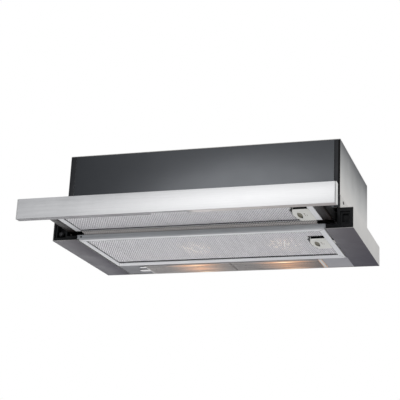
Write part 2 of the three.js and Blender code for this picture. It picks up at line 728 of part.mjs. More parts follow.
// Dark side member: underside strip, outer wall and a front tab behind the fascia.
function visorSide() {
  const under = VISOR_FILTER.under;
  const section = [
    [VISOR_SIDE_INNER, under],
    [VISOR_SIDE_OUTER, under],
    [VISOR_SIDE_OUTER, VISOR_SIDE_TOP],
    [VISOR_SIDE_OUTER - SHEET, VISOR_SIDE_TOP],
    [VISOR_SIDE_OUTER - SHEET, under + SHEET],
    [VISOR_SIDE_INNER, under + SHEET],
  ];
  const member = prism(section, "y", [VISOR_LIP_REAR + GAP, VISOR_REAR]);
  const tab = block(
    [VISOR_SIDE_INNER, VISOR_SIDE_OUTER],
    [VISOR_LIP_REAR + GAP, VISOR_LIP_REAR + VISOR_TAB],
    [under, VISOR_SIDE_TOP],
  );
  return join(member, tab);
}

function visorTopPlate() {
  const half = VISOR_SIDE_OUTER - SHEET - GAP;
  const { low, high, rear } = TOP_PLATE;
  return block([-half, half], [VISOR_LIP_REAR + VISOR_TAB + GAP, rear], [low, high]);
}

// Cross bar behind the visor's filter, with a foot that carries the bypass screen.
function visorRearBar() {
  const half = VISOR_SIDE_OUTER - SHEET - GAP;
  const { foot, depth } = REAR_BAR;
  const section = [
    [VISOR_REAR, TOP_PLATE.high],
    [VISOR_REAR, foot],
    [VISOR_REAR + depth, foot],
    [VISOR_REAR + depth, foot + SHEET],
    [VISOR_REAR + SHEET, foot + SHEET],
    [VISOR_REAR + SHEET, TOP_PLATE.high],
  ].reverse();
  return prism(section, "x", [-half, half]);
}

function bypassScreen() {
  const half = FILTER_HALF - FILTER_STRIP;
  return block([-half, half], [VISOR_REAR, VISOR_REAR + BYPASS.depth], [BYPASS.low, BYPASS.high]);
}

// ---- Grease filters -----------------------------------------------------------------------

// Outline of the latch seen from below: straight along the frame, bulging inwards.
// grow widens it, and middle is the place of its middle along Y.
function latchOutline(grow, middle) {
  const right = FILTER_HALF - FILTER_STRIP - GAP + grow;
  const left = LATCH.inner - grow;
  const front = middle - LATCH.half - grow;
  const rear = middle + LATCH.half + grow;
  const shape = new THREE.Shape();
  shape.moveTo(right, front);
  shape.lineTo(right, rear);
  shape.lineTo(left, rear);
  shape.quadraticCurveTo(left - 2 * LATCH.bulge, middle, left, front);
  shape.closePath();
  return shape;
}

function latch(reach) {
  const body = prism(latchOutline(0, 0), "z", [-LATCH.proud, LATCH.depth]);
  const tongue = block(
    [FILTER_HALF - FILTER_STRIP - TONGUE.root, reach],
    [-TONGUE.half, TONGUE.half],
    [TONGUE.low, TONGUE.high],
  );
  const recess = new THREE.Shape();
  recess.moveTo(...LEAF.tip);
  recess.quadraticCurveTo(...LEAF.bow, ...LEAF.tail);
  recess.quadraticCurveTo(...LEAF.belly, ...LEAF.tip);
  return cut(join(body, tongue), prism(recess, "z", [-LATCH.proud - PAST, LEAF.floor]));
}

// Channel frame folded round the mesh pack, slotted for the latch's tongue.
function filterFrame(front, rear, rearStrip) {
  const wall = FILTER_WALL;
  const inner = FILTER_HALF - FILTER_STRIP;
  const outside = block([-FILTER_HALF, FILTER_HALF], [front, rear], [0, FILTER_THICK]);
  const window = block(
    [-inner, inner],
    [front + FILTER_STRIP, rear - rearStrip],
    [-PAST, FILTER_THICK + PAST],
  );
  const channel = block(
    [-FILTER_HALF + wall, FILTER_HALF - wall],
    [front + wall, rear - wall],
    [wall, FILTER_THICK - wall],
  );
  const slot = block(
    [inner + wall, FILTER_HALF + PAST],
    [-TONGUE.half - LATCH_TRAVEL - LATCH_CLEARANCE, TONGUE.half + LATCH_CLEARANCE],
    [wall, TONGUE.high + LATCH_CLEARANCE],
  );
  return cut(outside, window, channel, slot);
}

// Mesh pack held in the frame's channel, cut out where the latch stands and where it slides to.
function filterMesh(front, rear) {
  const wall = FILTER_WALL + GAP;
  const span = [wall, wall + MESH_THICK];
  const sheet = block([-FILTER_HALF + wall, FILTER_HALF - wall], [front + wall, rear - wall], span);
  const pocket = prism(latchOutline(LATCH_CLEARANCE, 0), "z", [0, LATCH_POCKET]);
  const pocketAhead = prism(latchOutline(LATCH_CLEARANCE, -LATCH_TRAVEL), "z", [0, LATCH_POCKET]);
  const path = block(
    [FILTER_HALF - FILTER_STRIP - TONGUE.root, FILTER_HALF],
    [-TONGUE.half - LATCH_TRAVEL - LATCH_CLEARANCE, LATCH.half + LATCH_CLEARANCE],
    [0, LATCH_POCKET],
  );
  return cut(sheet, pocket, pocketAhead, path);
}

// One cassette in its own group, whose origin is under the latch's middle.
function filterCassette(name, place, reach) {
  const group = new THREE.Group();
  group.position.set(0, place.latch, place.under);
  const front = place.front - place.latch;
  const rear = place.rear - place.latch;
  put(group, name + "_frame", "aluminium", filterFrame(front, rear, place.rearStrip));
  put(group, name + "_mesh", "aluminium", filterMesh(front, rear));
  put(group, name + "_latch", "ivory_plastic", latch(reach));
  return group;
}

// ---- Visor switch -------------------------------------------------------------------------

// Switch in the right fixed rail, pressed by the visor's rail when the visor is shut.
function visorSwitch() {
  const { left, front, depth, low, high } = VISOR_SWITCH;
  return block([left, RAIL_WEB - RAIL_PLAY], [front, front + depth], [low, high]);
}

function switchPlunger() {
  const { left, right, reach, root, low, high } = PLUNGER;
  return block([left, right], [VISOR_SWITCH.front - reach, VISOR_SWITCH.front - root], [low, high]);
}

// ---- Assembly -----------------------------------------------------------------------------

function housing() {
  const group = new THREE.Group();
  putPair(group, "side_channel", "grey_steel", sideChannel());
  putPair(group, "fixed_rail", "dark_steel", fixedRail());
  put(group, "front_bar", "panel_grey", frontBar());
  put(group, "pod_left", "black_plastic", podLeft());
  put(group, "pod_right", "black_plastic", podRight());
  put(group, "pod_screw", "galvanised", podScrew());
  put(group, "push_button", "black_plastic", pushButton());
  put(group, "button_switch", "grey_plastic", buttonSwitch());
  put(group, "visor_switch", "grey_plastic", visorSwitch());
  put(group, "visor_switch_plunger", "white_plastic", switchPlunger());
  return group;
}

function upperBox() {
  const group = new THREE.Group();
  putPair(group, "box_side", "grey_steel", boxSide());
  put(group, "front_panel", "dark_steel", frontPanel());
  put(group, "top_panel", "grey_steel", topPanel());
  put(group, "back_panel", "grey_steel", backPanel());
  put(group, "outlet_collar", "black_plastic", outletCollar());
  put(group, "damper_flap_front", "grey_plastic", damperFlap(-1));
  put(group, "damper_flap_rear", "grey_plastic", damperFlap(1));
  COLLAR_SCREWS.forEach((at, i) => put(group, `collar_screw_${i + 1}`, "galvanised", collarScrew(at)));
  put(group, "cable_gland", "black_plastic", cableGland());
  put(group, "control_box", "grey_plastic", controlBox());
  put(group, "control_box_cover", "grey_plastic", controlBoxCover());
  return group;
}

function blower() {
  const group = new THREE.Group();
  put(group, "scroll_shell", "galvanised", scrollShell());
  putPair(group, "scroll_side", "galvanised", scrollSide());
  put(group, "impeller", "galvanised", impeller());
  put(group, "motor_shaft", "stainless", motorShaft());
  put(group, "motor_housing", "grey_plastic", motorHousing());
  put(group, "motor_bracket", "galvanised", motorBracket());
  put(group, "motor_capacitor", "white_plastic", capacitor());
  return group;
}

function lampUnit() {
  const group = new THREE.Group();
  put(group, "lamp_panel", "panel_grey", lampPanel());
  put(group, "lamp_reflector", "aluminium", lampReflector());
  put(group, "lamp_lens_left", "lens", lensLeft());
  put(group, "lamp_lens_right", "lens", lensRight());
  put(group, "lamp_end_clip", "white_plastic", endClip());
  for (const [side, middle] of Object.entries(BULBS)) {
    put(group, "lamp_bulb_" + side, "bulb_glass", bulb(middle));
    put(group, "lamp_holder_" + side, "white_plastic", bulbHolder(middle));
  }
  return group;
}

function visor() {
  const group = new THREE.Group();
  put(group, "visor_panel", "stainless", visorPanel());
  putPair(group, "visor_end_cap", "white_plastic", visorEndCap());
  putPair(group, "visor_side", "black_plastic", visorSide());
  putPair(group, "visor_rail", "dark_steel", visorRail());
  put(group, "visor_top_plate", "galvanised", visorTopPlate());
  put(group, "visor_rear_bar", "galvanised", visorRearBar());
  put(group, "visor_bypass_screen", "aluminium", bypassScreen());
  group.add(filterCassette("visor_filter", VISOR_FILTER, VISOR_SIDE_INNER - GAP));
  return group;
}

hood.add(housing(), upperBox(), blower(), lampUnit(), visor());
hood.add(filterCassette("fixed_filter", FIXED_FILTER, STRIP_INNER - GAP));

export default hood;
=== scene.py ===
"""The telescopic range hood's finished look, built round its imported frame. Lengths are in metres."""

import json
import math

import bmesh
import bpy
from mathutils import Matrix, Vector, noise


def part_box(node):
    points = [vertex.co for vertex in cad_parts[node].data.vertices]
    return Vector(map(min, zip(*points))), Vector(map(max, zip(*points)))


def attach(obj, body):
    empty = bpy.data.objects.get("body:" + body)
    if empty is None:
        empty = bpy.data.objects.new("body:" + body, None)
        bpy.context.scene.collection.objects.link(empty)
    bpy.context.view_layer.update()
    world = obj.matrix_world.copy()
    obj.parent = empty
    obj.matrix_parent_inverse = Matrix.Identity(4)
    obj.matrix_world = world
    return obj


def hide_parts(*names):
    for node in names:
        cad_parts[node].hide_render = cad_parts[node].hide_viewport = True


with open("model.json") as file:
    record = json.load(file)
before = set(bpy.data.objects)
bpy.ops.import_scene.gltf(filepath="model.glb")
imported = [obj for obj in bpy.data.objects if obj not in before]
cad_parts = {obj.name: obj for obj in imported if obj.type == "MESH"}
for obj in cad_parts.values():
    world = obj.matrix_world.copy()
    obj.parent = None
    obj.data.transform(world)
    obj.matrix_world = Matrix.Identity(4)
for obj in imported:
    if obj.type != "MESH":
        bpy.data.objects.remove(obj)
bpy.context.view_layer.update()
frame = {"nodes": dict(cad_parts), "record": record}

MM = 0.001
BODY_OF = {n: body for body, nodes in frame["record"]["behaviour"]["bodies"].items() for n in nodes}
SLOT_OF = {row["node"]: row["material_slot"] for row in frame["record"]["subparts"]}


# ---- Node materials -----------------------------------------------------------------------


class Recipe:
    """A Principled material with short calls for its node tree."""

    def __init__(self, name, color, roughness, metallic=0.0):
        self.material = bpy.data.materials.new(name)
        self.material.use_nodes = True
        self.nodes = self.material.node_tree.nodes
        self.links = self.material.node_tree.links
        self.shader = self.nodes["Principled BSDF"]
        self.shader.inputs["Base Color"].default_value = (*color, 1)
        self.shader.inputs["Roughness"].default_value = roughness
        self.shader.inputs["Metallic"].default_value = metallic
        self.place = self.nodes.new("ShaderNodeTexCoord").outputs["Object"]

    def add(self, kind, inputs=None, **settings):
        node = self.nodes.new("ShaderNode" + kind)
        for key, value in settings.items():
            setattr(node, key, value)
        for key, value in (inputs or {}).items():
            if isinstance(value, bpy.types.NodeSocket):
                self.links.new(value, node.inputs[key])
            else:
                node.inputs[key].default_value = value
        return node

    def scaled(self, x, y, z):
        """Object coordinates stretched by a factor on each axis."""
        return self.add("Mapping", {"Vector": self.place, "Scale": (x, y, z)}).outputs["Vector"]

    def noise(self, vector, scale, detail=3.0, rough=0.5):
        made = self.add("TexNoise", {"Vector": vector, "Scale": scale, "Detail": detail, "Roughness": rough})
        return made.outputs["Fac"]

    def spread(self, value, low, high, start=0.3, end=0.7):
        """A texture value carried to the range low to high."""
        inputs = {"Value": value, "From Min": start, "From Max": end, "To Min": low, "To Max": high}
        return self.add("MapRange", inputs).outputs["Result"]

    def ramp(self, value, *stops):
        """Colours at places from 0 to 1."""
        node = self.add("ValToRGB", {"Fac": value})
        band = node.color_ramp
        while len(band.elements) < len(stops):
            band.elements.new(0.5)
        for element, (place, color) in zip(band.elements, stops):
            element.position = place
            element.color = (*color, 1)
        return node.outputs["Color"]

    def math(self, operation, first, second=0.0):
        node = self.add("Math", operation=operation)
        for socket, value in zip(node.inputs, (first, second)):
            if isinstance(value, bpy.types.NodeSocket):
                self.links.new(value, socket)
            else:
                socket.default_value = value
        return node.outputs["Value"]

    def set(self, name, socket):
        self.links.new(socket, self.shader.inputs[name])

    def bump(self, height, strength, distance):
        inputs = {"Height": height, "Strength": strength, "Distance": distance}
        self.set("Normal", self.add("Bump", inputs).outputs["Normal"])

    def tinted(self, value, color, span):
        """Base colour that varies by a share of itself."""
        dark = tuple(c * (1 - span) for c in color)
        light = tuple(min(1, c * (1 + span)) for c in color)
        self.set("Base Color", self.ramp(value, (0.3, dark), (0.7, light)))


def painted(name, color, roughness, metallic=0.0, gloss=0.5):
    """Powder-painted sheet: faint cloudiness, orange peel and uneven gloss."""
    r = Recipe(name, color, roughness, metallic)
    r.tinted(r.noise(r.place, 9, 4), color, 0.05)
    r.set("Roughness", r.spread(r.noise(r.place, 35, 5), roughness - 0.05, roughness + 0.06))
    r.bump(r.noise(r.place, 900, 2), 0.12, 0.0002)
    r.shader.inputs["Specular IOR Level"].default_value = gloss
    return r.material


def shaded_along(name, axis, stops, roughness, metallic=0.0, gloss=0.5, uneven=0.05, drift=0.05):
    """Painted sheet whose tone drifts along one axis; the drift is painted light and shade. stops are (place
    in metres, colour).
    """
    r = Recipe(name, stops[0][1], roughness, metallic)
    along = r.add("SeparateXYZ", {"Vector": r.place}).outputs[axis]
    start, end = stops[0][0], stops[-1][0]
    share = r.spread(along, 0, 1, start, end)
    wander = r.math("ADD", share, r.spread(r.noise(r.place, 14, 4), -drift, drift))
    band = [((place - start) / (end - start), color) for place, color in stops]
    r.set("Base Color", r.ramp(wander, *band))
    r.set("Roughness", r.spread(r.noise(r.place, 35, 5), roughness - uneven, roughness + uneven))
    r.bump(r.noise(r.place, 900, 2), 0.10, 0.0002)
    r.shader.inputs["Specular IOR Level"].default_value = gloss
    return r.material


def brushed(name, color, roughness, along):
    """Brushed stainless: short and long streaks along one axis, with slow patches of gloss."""
    r = Recipe(name, color, roughness, 1.0)
    fine = r.noise(r.scaled(*{"x": (70, 1500, 1500), "y": (1500, 70, 1500)}[along]), 1, 3, 0.6)
    broad = r.noise(r.scaled(*{"x": (9, 260, 260), "y": (260, 9, 260)}[along]), 1, 3, 0.6)
    patch = r.noise(r.place, 26, 4, 0.6)
    streak = r.math("ADD", r.math("MULTIPLY", fine, 0.4), r.math("MULTIPLY", broad, 0.6))
    both = r.math("ADD", r.math("MULTIPLY", streak, 0.7), r.math("MULTIPLY", patch, 0.3))
    r.tinted(both, color, 0.13)
    r.set("Roughness", r.spread(both, roughness - 0.06, roughness + 0.08))
    r.bump(streak, 0.16, 0.0001)
    r.shader.inputs["Anisotropic"].default_value = 0.3
    return r.material


def galvanised(name, color, roughness):
    """Zinc-coated sheet with spangles."""
    r = Recipe(name, color, roughness, 1.0)
    cells = r.add("TexVoronoi", {"Vector": r.place, "Scale": 160.0})
    tone = r.add("SeparateColor", {"Color": cells.outputs["Color"]}).outputs["Red"]
    r.tinted(tone, color, 0.10)
    r.set("Roughness", r.spread(tone, roughness - 0.06, roughness + 0.10, 0, 1))
    r.bump(r.noise(r.place, 400, 2), 0.08, 0.0002)
    return r.material


def milled(name, color, roughness, metallic=1.0):
    """Rolled aluminium: satin, with faint rolling lines along X."""
    r = Recipe(name, color, roughness, metallic)
    lines = r.noise(r.scaled(10, 500, 500), 1, 3)
    r.tinted(lines, color, 0.05)
    r.set("Roughness", r.spread(r.noise(r.place, 60, 4), roughness - 0.06, roughness + 0.06))
    r.bump(lines, 0.08, 0.0001)
    return r.material


def plastic(name, color, roughness, gloss=0.5):
    """Moulded plastic with a fine spark-eroded grain."""
    r = Recipe(name, color, roughness)
    r.tinted(r.noise(r.place, 25, 4), color, 0.06)
    r.set("Roughness", r.spread(r.noise(r.place, 120, 3), roughness - 0.05, roughness + 0.05))
    r.bump(r.noise(r.place, 1600, 2), 0.10, 0.00015)
    r.shader.inputs["Specular IOR Level"].default_value = gloss
    return r.material


def middle(node):
    low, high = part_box(node)
    return (low + high) / 2


def offset_from(r, centre, reach):
    """Distance from a centre along X and Y, as shares of the reach on each."""
    away = r.add("VectorMath", {0: r.place, 1: centre}, operation="SUBTRACT").outputs["Vector"]
    share = (1 / reach[0], 1 / reach[1], 0.0)
    return r.add("VectorMath", {0: away, 1: share}, operation="MULTIPLY").outputs["Vector"]


def falloff(r, offset):
    """1 at the centre, falling to 0 at the reach."""
    length = r.add("VectorMath", {0: offset}, operation="LENGTH").outputs["Value"]
    return r.math("POWER", r.spread(length, 1.0, 0.0, 0.0, 1.0), 1.6)


def strongest(r, values):
    """The largest of several values."""
    total = values[0]
    for value in values[1:]:
        total = r.math("MAXIMUM", total, value)
    return total


# Painted lamp glow on the lens: the reach of each glowing area.
PAINTED_FRONT_GLOW = (0.080, 0.011)  # reach of each lit area along X and Y
PAINTED_REAR_GLOW = (0.060, 0.011)
PAINTED_SOFT_GLOW = (0.075, 0.060)
# Painted glints of lamp light on the filter mesh: shift from each bulb to the right, distance ahead, and
# reach.
PAINTED_GLINT_SHIFTS = {"left": 0.040, "right": 0.032}  # from each bulb to the right
PAINTED_GLINTS_AHEAD = 0.150
PAINTED_GLINT_REACH = (0.042, 0.060)


def lens_material():
    """Ribbed frosted lens. By each bulb a glow of lamp light is painted on as emission, in a front line, a
    rear line and a soft patch.
    """
    color = (0.240, 0.208, 0.192)
    r = Recipe("lamp_lens", color, 0.32)
    turned = r.add("Mapping", {"Vector": r.place, "Rotation": (0, 0, 0.035), "Scale": (9, 210, 1)})
    streak = r.noise(turned.outputs["Vector"], 1, 2, 0.6)
    r.tinted(streak, color, 0.60)
    r.set("Roughness", r.spread(r.noise(r.place, 200, 3), 0.26, 0.40))
    low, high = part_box("lamp_lens_left")
    lit = []
    for side in ("left", "right"):
        bulb = middle("lamp_bulb_" + side)
        front = Vector((bulb.x, low.y + 8 * MM, 0))
        rear = Vector((bulb.x + 8 * MM, high.y, 0))
        lit.append(falloff(r, offset_from(r, front, PAINTED_FRONT_GLOW)))
        lit.append(r.math("MULTIPLY", falloff(r, offset_from(r, rear, PAINTED_REAR_GLOW)), 1.1))
        lit.append(r.math("MULTIPLY", falloff(r, offset_from(r, bulb, PAINTED_SOFT_GLOW)), 0.42))
    # The painted glow, broken into rays by the streaks.
    glow = r.math("MULTIPLY", strongest(r, lit), r.spread(streak, 0.5, 1.5))
    amber, pale = (1.0, 0.42, 0.13), (1.0, 0.78, 0.48)
    r.set("Emission Color", r.ramp(glow, (0.0, (0.9, 0.5, 0.3)), (0.45, amber), (1.0, pale)))
    r.set("Emission Strength", r.math("MULTIPLY", glow, 1.1))
    r.shader.inputs["Transmission Weight"].default_value = 0.1
    r.bump(r.noise(r.place, 700, 2), 0.10, 0.0002)
    return r.material


def lit_rim_material():
    """Clear edge with a little warm lamp light painted on as emission; it is no lamp."""
    r = Recipe("lit_rim", (0.70, 0.45, 0.30), 0.4)
    r.tinted(r.noise(r.place, 120, 3), (0.70, 0.45, 0.30), 0.10)
    r.shader.inputs["Emission Color"].default_value = (1.0, 0.45, 0.16, 1)
    r.set("Emission Strength", r.spread(r.noise(r.place, 60, 2), 0.12, 0.30))
    return r.material


def bulb_material():
    r = Recipe("bulb_glass", (1.0, 0.93, 0.80), 0.25)
    r.tinted(r.noise(r.place, 90, 3), (0.95, 0.88, 0.76), 0.05)
    r.shader.inputs["Emission Color"].default_value = (1.0, 0.72, 0.42, 1)
    r.set("Emission Strength", r.spread(r.noise(r.place, 40, 2), 5.0, 7.0))
    return r.material


def mesh_material(name, color):
    """Expanded aluminium. On the housing's filter, warm glints of lamp light are painted on as emission ahead
    of each bulb.
    """
    r = Recipe(name, color, 0.45, 0.7)
    r.tinted(r.noise(r.scaled(300, 20, 300), 1, 3), color, 0.08)
    r.set("Roughness", r.spread(r.noise(r.place, 160, 3), 0.36, 0.54))
    r.bump(r.noise(r.place, 900, 2), 0.15, 0.0002)
    painted_glints = r.spread(r.noise(r.scaled(1, 0.22, 1), 330, 1), 0, 1, 0.57, 0.66)
    areas = []
    for side, shift in PAINTED_GLINT_SHIFTS.items():
        centre = middle("lamp_bulb_" + side) + Vector((shift, -PAINTED_GLINTS_AHEAD, 0))
        areas.append(falloff(r, offset_from(r, centre, PAINTED_GLINT_REACH)))
    near = strongest(r, areas)
    r.set("Emission Strength", r.math("MULTIPLY", near, r.math("MULTIPLY", painted_glints, 1.3)))
    r.shader.inputs["Emission Color"].default_value = (1.0, 0.78, 0.55, 1)
    return r.material


# Painted shade and light on the visor's lip: dark at the left, with painted warm lamp light towards the
# right.
LIP_SHADE_AND_GLOW_TONES = [(-0.30, (0.125, 0.120, 0.132)), (0.030, (0.24, 0.23, 0.24)), (0.045, (0.62, 0.57, 0.55))]
# Painted shade on the box sides: lighter at the bottom, darker towards the top.
WALL_SHADE_TONES = [(0.0, (0.88, 0.85, 0.81)), (0.070, (0.52, 0.52, 0.505)), (0.134, (0.11, 0.113, 0.118))]
# Underside strips in a darker paint, growing darker towards the rear: that darkening is painted shade.
STRIP_SHADE_TONES = [(-0.284, (0.155, 0.143, 0.158)), (0.0, (0.070, 0.065, 0.086))]
# Painted light on the lamp panel: dark at the left, lighter towards the right.
LAMP_PANEL_LIGHT_TONES = [(-0.247, (0.150, 0.150, 0.166)), (0.247, (0.48, 0.476, 0.50))]
# Painted light on the filter frames: lighter towards the right.
FRAME_LIGHT_TONES = [(-0.244, (0.79, 0.79, 0.80)), (0.10, (0.88, 0.88, 0.89)), (0.244, (0.97, 0.97, 0.98))]
# Painted highlight on the front panel: darker at the left, lighter from the middle to the right.
PANEL_HIGHLIGHT_TONES = [
    (-0.274, (0.060, 0.064, 0.070)),
    (-0.060, (0.126, 0.132, 0.140)),
    (0.274, (0.126, 0.132, 0.140)),
]

MATERIALS = {
    "grey_steel": painted("grey_steel", (0.66, 0.645, 0.615), 0.42, 0.2),
    "side_wall": shaded_along("side_wall", "Z", WALL_SHADE_TONES, 0.5, gloss=0.25),
    "dark_steel": shaded_along("dark_steel", "X", PANEL_HIGHLIGHT_TONES, 0.30, 0.8, uneven=0.02, drift=0.02),
    # Near-black: used for the rails, the box's bend strip, the latch fronts and the hole discs, all painted
    # shade.
    "black_steel": painted("black_steel", (0.004, 0.004, 0.004), 0.5, gloss=0.12),
    "flange_steel": painted("flange_steel", (0.030, 0.031, 0.034), 0.42, 0.3, gloss=0.25),
    "bar_grey": painted("bar_grey", (0.60, 0.62, 0.64), 0.35),
    "lamp_panel_grey": shaded_along("lamp_panel_grey", "X", LAMP_PANEL_LIGHT_TONES, 0.5, gloss=0.25),
    "strip_grey": shaded_along("strip_grey", "Y", STRIP_SHADE_TONES, 0.5, gloss=0.2),
    "stainless": brushed("stainless", (0.80, 0.80, 0.80), 0.40, "x"),
    "stainless_lip_shade_and_glow": shaded_along("stainless_lip_shade_and_glow", "X", LIP_SHADE_AND_GLOW_TONES, 0.4, 0.5, drift=0.005),
    "notch_painted_light": milled("notch_painted_light", (0.92, 0.92, 0.93), 0.35, 0.4),
    "stainless_end_shade": brushed("stainless_end_shade", (0.30, 0.30, 0.31), 0.4, "y"),
    "galvanised": galvanised("galvanised", (0.60, 0.62, 0.64), 0.42),
    "steel_shaft": brushed("steel_shaft", (0.55, 0.56, 0.57), 0.3, "y"),
    "filter_frame": shaded_along("filter_frame", "X", FRAME_LIGHT_TONES, 0.45, 0.12, drift=0.0),
    "filter_mesh": mesh_material("filter_mesh", (0.93, 0.91, 0.93)),
    # A darker copy of the mesh metal: painted shade on the inner sheet.
    "mesh_inner": milled("mesh_inner", (0.27, 0.265, 0.27), 0.5),
    # Near-black: painted shade behind the meshes and on the visor filter frame's rear wall, and the dark of
    # the frames' mitre joints.
    "shade_and_joint_dark": milled("shade_and_joint_dark", (0.035, 0.034, 0.034), 0.6, 0.2),
    "screen_mesh": milled("screen_mesh", (0.60, 0.565, 0.545), 0.5, 0.1),
    "reflector": milled("reflector", (0.9, 0.9, 0.9), 0.2),
    "black_plastic": plastic("black_plastic", (0.014, 0.0145, 0.0155), 0.42, 0.10),
    "visor_side_black": plastic("visor_side_black", (0.013, 0.009, 0.008), 0.42, 0.15),
    "grey_plastic": plastic("grey_plastic", (0.12, 0.125, 0.13), 0.5),
    "ivory_plastic": plastic("ivory_plastic", (0.94, 0.93, 0.87), 0.5),
    # Dark olive: painted shade in the latch's finger recess, and the colour of the arrow marks.
    "latch_recess": plastic("latch_recess", (0.30, 0.285, 0.22), 0.55),
    "white_plastic": plastic("white_plastic", (0.80, 0.80, 0.78), 0.45),
    "lens_tab": plastic("lens_tab", (0.86, 0.83, 0.82), 0.35),
    "lit_rim": lit_rim_material(),
    "screw_dark": painted("screw_dark", (0.035, 0.035, 0.037), 0.4, 0.7),
    "lamp_lens": lens_material(),
    "bulb_glass": bulb_material(),
}


# ---- Pieces -------------------------------------------------------------------------------


def place(piece, node, finishes=()):
    """A finished piece that stands for a CAD node: it rides on the node's body and takes its finish."""
    piece.data.materials.clear()
    for finish in finishes or (SLOT_OF[node],):
        piece.data.materials.append(MATERIALS[finish])
    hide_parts(node)
    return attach(piece, BODY_OF[node])


def detail(piece, node, finish):
    """A small piece added to a node, on the same body."""
    piece.data.materials.clear()
    piece.data.materials.append(MATERIALS[finish])
    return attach(piece, BODY_OF[node])


def new_piece(name, vertices, faces):
    mesh = bpy.data.meshes.new(name)
    mesh.from_pydata(vertices, [], faces)
    mesh.validate()
    piece = bpy.data.objects.new(name, mesh)
    bpy.context.scene.collection.objects.link(piece)
    return piece


WELD = 0.01 * MM  # corners nearer than this are one


def whole_faces(mesh):
    """Joins a faceted solid's triangles back into its flat faces."""
    b = bmesh.new()
    b.from_mesh(mesh)
    bmesh.ops.remove_doubles(b, verts=b.verts, dist=WELD)
    bmesh.ops.dissolve_limit(b, angle_limit=math.radians(1), verts=b.verts, edges=b.edges)
    b.to_mesh(mesh)
    b.free()


def rounded(piece, width, segments=2, limit=32):
    """Rounds the sharp edges and shades the faces smooth between them."""
    piece.data.shade_smooth()
    bevel = piece.modifiers.new("edges", "BEVEL")
    bevel.width = width
    bevel.segments = segments
    bevel.limit_method = "ANGLE"
    bevel.angle_limit = math.radians(limit)
    bevel.harden_normals = True
    return piece


def formed(node, width, segments=2, finish=None, other=None, where=None):
    """A CAD node's own shape with its edges rounded.

    where(centre, normal) picks the faces that take the other finish.
    """
    mesh = frame["nodes"][node].data.copy()
    piece = bpy.data.objects.new(node + "_formed", mesh)
    bpy.context.scene.collection.objects.link(piece)
    whole_faces(mesh)
    rounded(piece, width, segments)
    finishes = [finish or SLOT_OF[node]] + ([other] if other else [])
    place(piece, node, finishes)
    for face in mesh.polygons:
        face.material_index = 1 if where and where(face.center, face.normal) else 0
    return piece


def box_piece(name, low, high, edge=0.1 * MM):
    """A small bar between two corners, with rounded edges."""
    b = bmesh.new()
    bmesh.ops.create_cube(b, size=1)
    low, high = Vector(low), Vector(high)
    for v in b.verts:
        v.co = Vector(low[i] if v.co[i] < 0 else high[i] for i in range(3))
    mesh = bpy.data.meshes.new(name)
    b.to_mesh(mesh)
    b.free()
    piece = bpy.data.objects.new(name, mesh)
    bpy.context.scene.collection.objects.link(piece)
    return rounded(piece, edge)


LATCH_TRAVEL = 7.5 * MM
LATCH_BULGE = 7.5 * MM  # how far the latch's rounded side stands out at its middle
LATCH_EDGE = 233.3 * MM  # inner side of the frame strip beside the latch


def latch_pocket(latch):
    """In plan, what the mesh pack leaves free: the latch and the slot that it slides into."""
    low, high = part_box(latch)
    return low.x, low.y - LATCH_TRAVEL, high.y


def widened(pocket, pitch):
    """The pocket with half a mesh cell more all round, so that no cell reaches into it."""
    left, front, rear = pocket
    return left - pitch[0] / 2, front - pitch[1] / 2, rear + pitch[1] / 2


def in_pocket(x, y, pocket):
    """True where the bulging latch stands, at either end of its travel or between them."""
    left, front, rear = pocket
    half = (rear - front - LATCH_TRAVEL) / 2
    centre = rear - half
    beyond = max(centre - LATCH_TRAVEL - y, y - centre, 0.0)
    across = min(1.0, beyond / half)
    return left + LATCH_BULGE * across**2 < x < LATCH_EDGE and front < y < rear


def expanded_mesh(name, x_span, y_span, z, pitch, strand, tilt, pocket=None, gauge=0.35 * MM):
    """Expanded metal: diamond openings between tilted strands. pitch is along X and along Y."""
    columns = round((x_span[1] - x_span[0]) / pitch[0])
    rows = round((y_span[1] - y_span[0]) / (pitch[1] / 2)) - 1
    px, py = (x_span[1] - x_span[0]) / columns, 2 * (y_span[1] - y_span[0]) / (rows + 1)
    hole_x, hole_y = px / 2 - strand, py / 2 - strand * py / px
    vertices, faces, shared = [], [], {}

    def lattice(i, j):
        return x_span[0] + i * px / 2, y_span[0] + j * py / 2

    def corner(i, j):
        """Index of the shared corner on the half-pitch lattice."""
        if (i, j) not in shared:
            x, y = lattice(i, j)
            shared[(i, j)] = len(vertices)
            vertices.append((x, y, z + noise.noise(Vector((x * 40, y * 40, z * 100))) * 0.25 * MM))
        return shared[(i, j)]

    for row in range(rows):
        for column in range(columns - row % 2):
            i, j = 2 * column + 1 + row % 2, row + 1
            x, y = lattice(i, j)
            if pocket and in_pocket(x, y, pocket):
                continue
            outer = [corner(i - 1, j), corner(i, j - 1), corner(i + 1, j), corner(i, j + 1)]
            first = len(vertices)
            vertices += [(x - hole_x, y, z), (x, y - hole_y, z - tilt)]
            vertices += [(x + hole_x, y, z), (x, y + hole_y, z + tilt)]
            for k in range(4):
                after = (k + 1) % 4
                faces.append((outer[k], outer[after], first + after, first + k))
    piece = new_piece(name, vertices, faces)
    solidify = piece.modifiers.new("gauge", "SOLIDIFY")
    solidify.thickness = gauge
    solidify.offset = 0
    return piece


def prism_piece(name, outlines, low, high):
    """Flat outlines, each a list of (x, y), given thickness between two heights."""
    vertices, faces = [], []
    for outline in outlines:
        first, count = len(vertices), len(outline)
        vertices += [(x, y, low) for x, y in outline] + [(x, y, high) for x, y in outline]
        faces.append(tuple(first + k for k in reversed(range(count))))
        faces.append(tuple(first + count + k for k in range(count)))
        for k in range(count):
            after = (k + 1) % count
            faces.append((first + k, first + after, first + count + after, first + count + k))
    return new_piece(name, vertices, faces)


